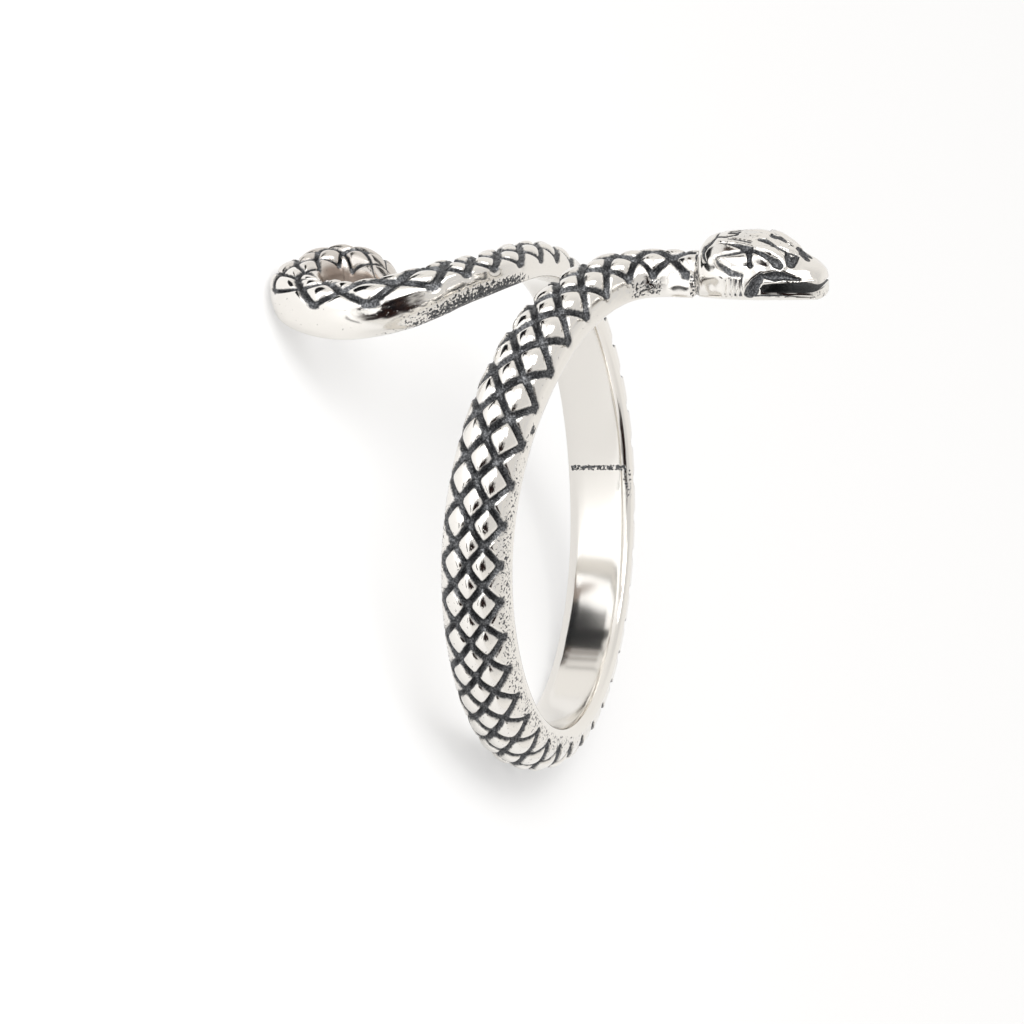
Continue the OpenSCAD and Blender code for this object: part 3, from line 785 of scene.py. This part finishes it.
def castSilver():
    material = bpy.data.materials.new("oxidisedSterlingSilver")
    material.use_nodes = True
    tree = material.node_tree
    tree.nodes.clear()
    place = addNode(tree, "ShaderNodeTexCoord").outputs["Object"]
    value = {}
    for name in ("along", "across", "below", "grooveHalf", "tarnish", "dull", "pitting", "mouth"):
        value[name] = addNode(tree, "ShaderNodeAttribute", attribute_name=name).outputs["Fac"]
    for name, (sizeMm, detail) in silver["noises"].items():
        value[name] = addNode(tree, "ShaderNodeTexNoise", {
            "Vector": place, "Scale": 1 / (sizeMm * mm), "Detail": detail}).outputs["Fac"]
    # each row is a new value, what is done, and the values or numbers it is done to
    power = -scales["cornerPower"]
    working = [
        # how far a point is from both grooves beside it, in half scales
        ("sum", "ADD", "along", "across"),
        ("difference", "SUBTRACT", "along", "across"),
        ("upWay", "PINGPONG", "sum", 1.0),
        ("downWay", "PINGPONG", "difference", 1.0),
        ("up", "SUBTRACT", 1.0, "upWay"),
        ("down", "SUBTRACT", 1.0, "downWay"),
        ("upSafe", "MAXIMUM", "up", 0.0001),
        ("downSafe", "MAXIMUM", "down", 0.0001),
        ("upPower", "POWER", "upSafe", power),
        ("downPower", "POWER", "downSafe", power),
        ("bothPowers", "ADD", "upPower", "downPower"),
        ("flatGap", "POWER", "bothPowers", 1 / power),
        # and with its depth below the dome
        ("flatSquare", "MULTIPLY", "flatGap", "flatGap"),
        ("belowSquare", "MULTIPLY", "below", "below"),
        ("squares", "ADD", "flatSquare", "belowSquare"),
        ("gap", "SQRT", "squares"),
        ("edgeMiddle", "SUBTRACT", "edge", 0.5),
        ("wander", "MULTIPLY", "edgeMiddle", silver["edgeWander"]),
        ("raggedGap", "ADD", "gap", "wander"),
        ("inCut", "SUBTRACT", "grooveHalf", "raggedGap"),
        ("cutMask", "RANGE", "inCut", silver["cutRange"]),
        ("twiceWander", "MULTIPLY", "wander", 2.0),
        ("headCut", "ADD", "tarnish", "twiceWander"),
        ("headMask", "RANGE", "headCut", silver["headRange"]),
        ("morePits", "MULTIPLY", "pitting", silver["pitShare"]),
        ("pitLevel", "ADD", "pit", "morePits"),
        ("pitMask", "RANGE", "pitLevel", silver["pitRange"]),
        ("cuts", "MAXIMUM", "cutMask", "headMask"),
        # mouth marks the faces inside the mouth's slot, which are painted dark as shade
        ("pitsAndMouthShade", "MAXIMUM", "pitMask", "mouth"),
        ("dark", "MAXIMUM", "cuts", "pitsAndMouthShade"),
        ("specks", "RANGE", "speck", silver["speckRange"]),
        ("matt", "MAXIMUM", "dark", "dull"),
        ("grainHeight", "MULTIPLY", "pit", "dark"),
    ]
    for name, kind, *terms in working:
        terms = [value[term] if isinstance(term, str) else term for term in terms]
        if kind == "RANGE":
            low, high = terms[1]
            made = addNode(tree, "ShaderNodeMapRange", {"Value": terms[0], 1: low, 2: high})
        else:
            made = addNode(tree, "ShaderNodeMath", dict(enumerate(terms)), operation=kind)
        value[name] = made.outputs[0]
    # each row is a new colour, what mixes it, and the two that it mixes
    value["polished"], value["dulled"], value["blackened"], value["worn"] = [
        linear(silver[name]) for name in ("polished", "dull", "blackened", "worn")]
    for name, share, one, other in (
        ("skin", "specks", "blackened", "worn"),
        ("bright", "dull", "polished", "dulled"),
        ("colour", "dark", "bright", "skin"),
    ):
        value[name] = addNode(tree, "ShaderNodeMix", {
            "Factor": value[share], 6: value[one], 7: value[other]}, data_type="RGBA").outputs[2]
    rough = addNode(tree, "ShaderNodeMix", {
        "Factor": value["matt"], 2: silver["polishedRoughness"],
        3: silver["blackenedRoughness"]}).outputs[0]
    waves = addNode(tree, "ShaderNodeBump", {
        "Height": value["wave"], "Strength": silver["waveStrength"],
        "Distance": silver["waveHeightMm"] * mm}).outputs[0]
    grain = addNode(tree, "ShaderNodeBump", {
        "Height": value["grainHeight"], "Strength": silver["grainStrength"],
        "Distance": silver["grainHeightMm"] * mm, "Normal": waves}).outputs[0]
    shader = addNode(tree, "ShaderNodeBsdfPrincipled", {
        "Base Color": value["colour"], "Metallic": 1.0, "Roughness": rough, "Normal": grain})
    addNode(tree, "ShaderNodeOutputMaterial", {"Surface": shader.outputs[0]})
    return material


print("finishing the silver")
snake.data.materials.clear()
snake.data.materials.append(castSilver())
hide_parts("snake_ring")
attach(snake, "root")


# Floor, light and camera
# opal acrylic sheet, cast and lit from below, as on a product photographer's light table: matt,
# even and nearly white
lightTable = {
    "colour": "#C4C4C4",
    "glow": "#FDFDFD",
    "glowStrength": 0.42,
    "roughness": 0.9,
    "halfSize": 1.5,        # metres
}


def whiteFloor():
    material = bpy.data.materials.new("opalAcrylic")
    material.use_nodes = True
    shader = material.node_tree.nodes["Principled BSDF"]
    shader.inputs["Base Color"].default_value = linear(lightTable["colour"])
    shader.inputs["Emission Color"].default_value = linear(lightTable["glow"])
    shader.inputs["Emission Strength"].default_value = lightTable["glowStrength"]
    shader.inputs["Roughness"].default_value = lightTable["roughness"]
    shader.inputs["Specular IOR Level"].default_value = 0.0
    size = lightTable["halfSize"]
    corners = [(-size, -size, 0), (size, -size, 0), (size, size, 0), (-size, size, 0)]
    floorMesh = bpy.data.meshes.new("floor")
    floorMesh.from_pydata(corners, [], [(0, 1, 2, 3)])
    floorMesh.materials.append(material)
    floor = bpy.data.objects.new("floor", floorMesh)
    bpy.context.scene.collection.objects.link(floor)


# flags of black felt beside the ring, which only the silver mirrors as dark and even: corners over
# the floor, mm
flags = {
    "flagBehind": [(-24, -12, 0.3), (-24, 10, 0.3), (-36, 14, 11), (-36, -2, 10)],
    "flagBefore": [(-7, -26, 0.3), (5, -26, 0.3), (7, -36, 0.3), (-9, -36, 0.3)],
}
feltColour = "#1B1C1F"


def blackFlag(name, corners):
    flagMesh = bpy.data.meshes.new(name)
    flagMesh.from_pydata((np.array(corners) * mm).tolist(), [], [(0, 1, 2, 3)])
    material = bpy.data.materials.new(name + "Felt")
    material.use_nodes = True
    tree = material.node_tree
    tree.nodes.clear()
    glow = addNode(tree, "ShaderNodeEmission", {"Color": linear(feltColour)})
    addNode(tree, "ShaderNodeOutputMaterial", {"Surface": glow.outputs[0]})
    flagMesh.materials.append(material)
    flag = bpy.data.objects.new(name, flagMesh)
    bpy.context.scene.collection.objects.link(flag)
    flag.visible_camera = False
    flag.visible_diffuse = False
    flag.visible_shadow = False
    flag.visible_transmission = False


# the room that the silver mirrors: a pale one with soft patches, whose edges ripple
room = {
    "colour": "#FBF9F6",
    "strength": 1.03,
    "rippleScale": 5.0,
    "rippleShift": 0.30,
    "mingleScale": 14.0,
    "mingleRange": (0.45, 0.58),
    # way to the patch in the ring's frame, full to and gone by in degrees from it, two colours that
    # mingle, and strength
    "patches": [
        [(-0.28, -0.79, 0.54), 25, 60, "#FFFFFF", "#FFFFFF", 1.5],    # white card on the left
        [(0.90, -0.30, 0.30), 25, 75, "#F4F1EC", "#E6E6E8", 0.92],    # grey wall on the right
        [(0.49, -0.86, -0.15), 19, 27, "#080C12", "#32190F", 1.0],    # dark end of the room
        [(-0.34, 0.14, 0.93), 8, 15, "#17181A", "#5A4A40", 1.0],      # stand over the table
    ],
}


def studioRoom():
    world = bpy.data.worlds.new("studio")
    world.use_nodes = True
    tree = world.node_tree
    way = addNode(tree, "ShaderNodeTexCoord").outputs["Generated"]
    ripple = addNode(tree, "ShaderNodeTexNoise", {
        "Vector": way, "Scale": room["rippleScale"], "Detail": 3.0}).outputs["Color"]
    bent = addNode(tree, "ShaderNodeVectorMath", {
        0: ripple, 1: [room["rippleShift"]] * 3, 2: way}, operation="MULTIPLY_ADD").outputs[0]
    bent = addNode(tree, "ShaderNodeVectorMath", {
        0: bent, 1: [room["rippleShift"] / 2] * 3}, operation="SUBTRACT").outputs[0]
    mingle = addNode(tree, "ShaderNodeTexNoise", {
        "Vector": way, "Scale": room["mingleScale"], "Detail": 4.0}).outputs["Fac"]
    low, high = room["mingleRange"]
    mingle = addNode(tree, "ShaderNodeMapRange", {"Value": mingle, 1: low, 2: high}).outputs[0]
    colour = linear(room["colour"])
    for towards, full, gone, one, other, strength in room["patches"]:
        towards = turnToFrame @ unit(np.array(towards))
        near = addNode(tree, "ShaderNodeVectorMath", {
            0: bent, 1: towards.tolist()}, operation="DOT_PRODUCT").outputs["Value"]
        mask = addNode(tree, "ShaderNodeMapRange", {
            "Value": near, 1: math.cos(math.radians(gone)), 2: math.cos(math.radians(full))},
            interpolation_type="SMOOTHSTEP").outputs[0]
        patch = addNode(tree, "ShaderNodeMix", {
            "Factor": mingle, 6: [c * strength for c in linear(one)],
            7: [c * strength for c in linear(other)]}, data_type="RGBA").outputs[2]
        colour = addNode(tree, "ShaderNodeMix", {
            "Factor": mask, 6: colour, 7: patch}, data_type="RGBA").outputs[2]
    sky = tree.nodes["Background"]
    tree.links.new(colour, sky.inputs["Color"])
    sky.inputs["Strength"].default_value = room["strength"]
    bpy.context.scene.world = world


# square soft boxes; places and sizes in metres. The low one beside the table looks straight down and
# whitens only the floor in front of the ring
lamps = {
    "key": {"size": 0.14, "energy": 0.2, "spread": 180, "at": (-0.11, -0.07, 0.20),
            "towards": (-0.02, -0.015, 0)},
    "floorGlow": {"size": 0.08, "energy": 0.08, "spread": 125, "at": (-0.055, -0.075, 0.05),
                  "towards": (-0.055, -0.075, 0)},
}


def studioLamps():
    for name, values in lamps.items():
        light = bpy.data.lights.new(name, "AREA")
        light.shape = "RECTANGLE"
        light.size = values["size"]
        light.size_y = values["size"]
        light.spread = math.radians(values["spread"])
        light.energy = values["energy"]
        lamp = bpy.data.objects.new(name, light)
        bpy.context.scene.collection.objects.link(lamp)
        lamp.location = values["at"]
        aim = Vector(values["towards"]) - Vector(values["at"])
        lamp.rotation_euler = aim.to_track_quat("-Z", "Y").to_euler()


view = {
    "turn": 17.89,          # the camera stands this far towards the head from straight in front
    "rise": 16.0,
    "roll": -2.0,
    "distance": 300.0,
    "pixelsPerMm": 25.9643,
    "right": 1.283,
    "down": 0.3917,
    "frame": 1024,          # pixels that pixelsPerMm is counted in
    "sensor": 36,
}


def photoCamera():
    turn, rise, roll = (math.radians(view[k]) for k in ("turn", "rise", "roll"))
    back = np.array([math.sin(turn) * math.cos(rise), -math.cos(turn) * math.cos(rise), math.sin(rise)])
    right = unit(np.cross(-back, [0, 0, 1]))
    up = np.cross(right, -back)
    rolledRight = math.cos(roll) * right + math.sin(roll) * up
    rolledUp = -math.sin(roll) * right + math.cos(roll) * up
    middle = -(view["right"] * rolledRight + view["down"] * rolledUp) + view["distance"] * back
    data = bpy.data.cameras.new("camera")
    data.lens = view["sensor"] * view["pixelsPerMm"] * view["distance"] / view["frame"]
    data.sensor_width = view["sensor"]
    data.clip_start = 0.01
    camera = bpy.data.objects.new("camera", data)
    bpy.context.scene.collection.objects.link(camera)
    axes = turnToFrame @ np.column_stack([rolledRight, rolledUp, back])
    pose = Matrix(axes.tolist()).to_4x4()
    pose.translation = Vector(toFrame(middle))
    camera.matrix_world = pose
    bpy.context.scene.camera = camera


print("setting the floor, light and camera")
whiteFloor()
for name, corners in flags.items():
    blackFlag(name, corners)
studioRoom()
studioLamps()
photoCamera()
bpy.context.scene.view_settings.view_transform = "Standard"
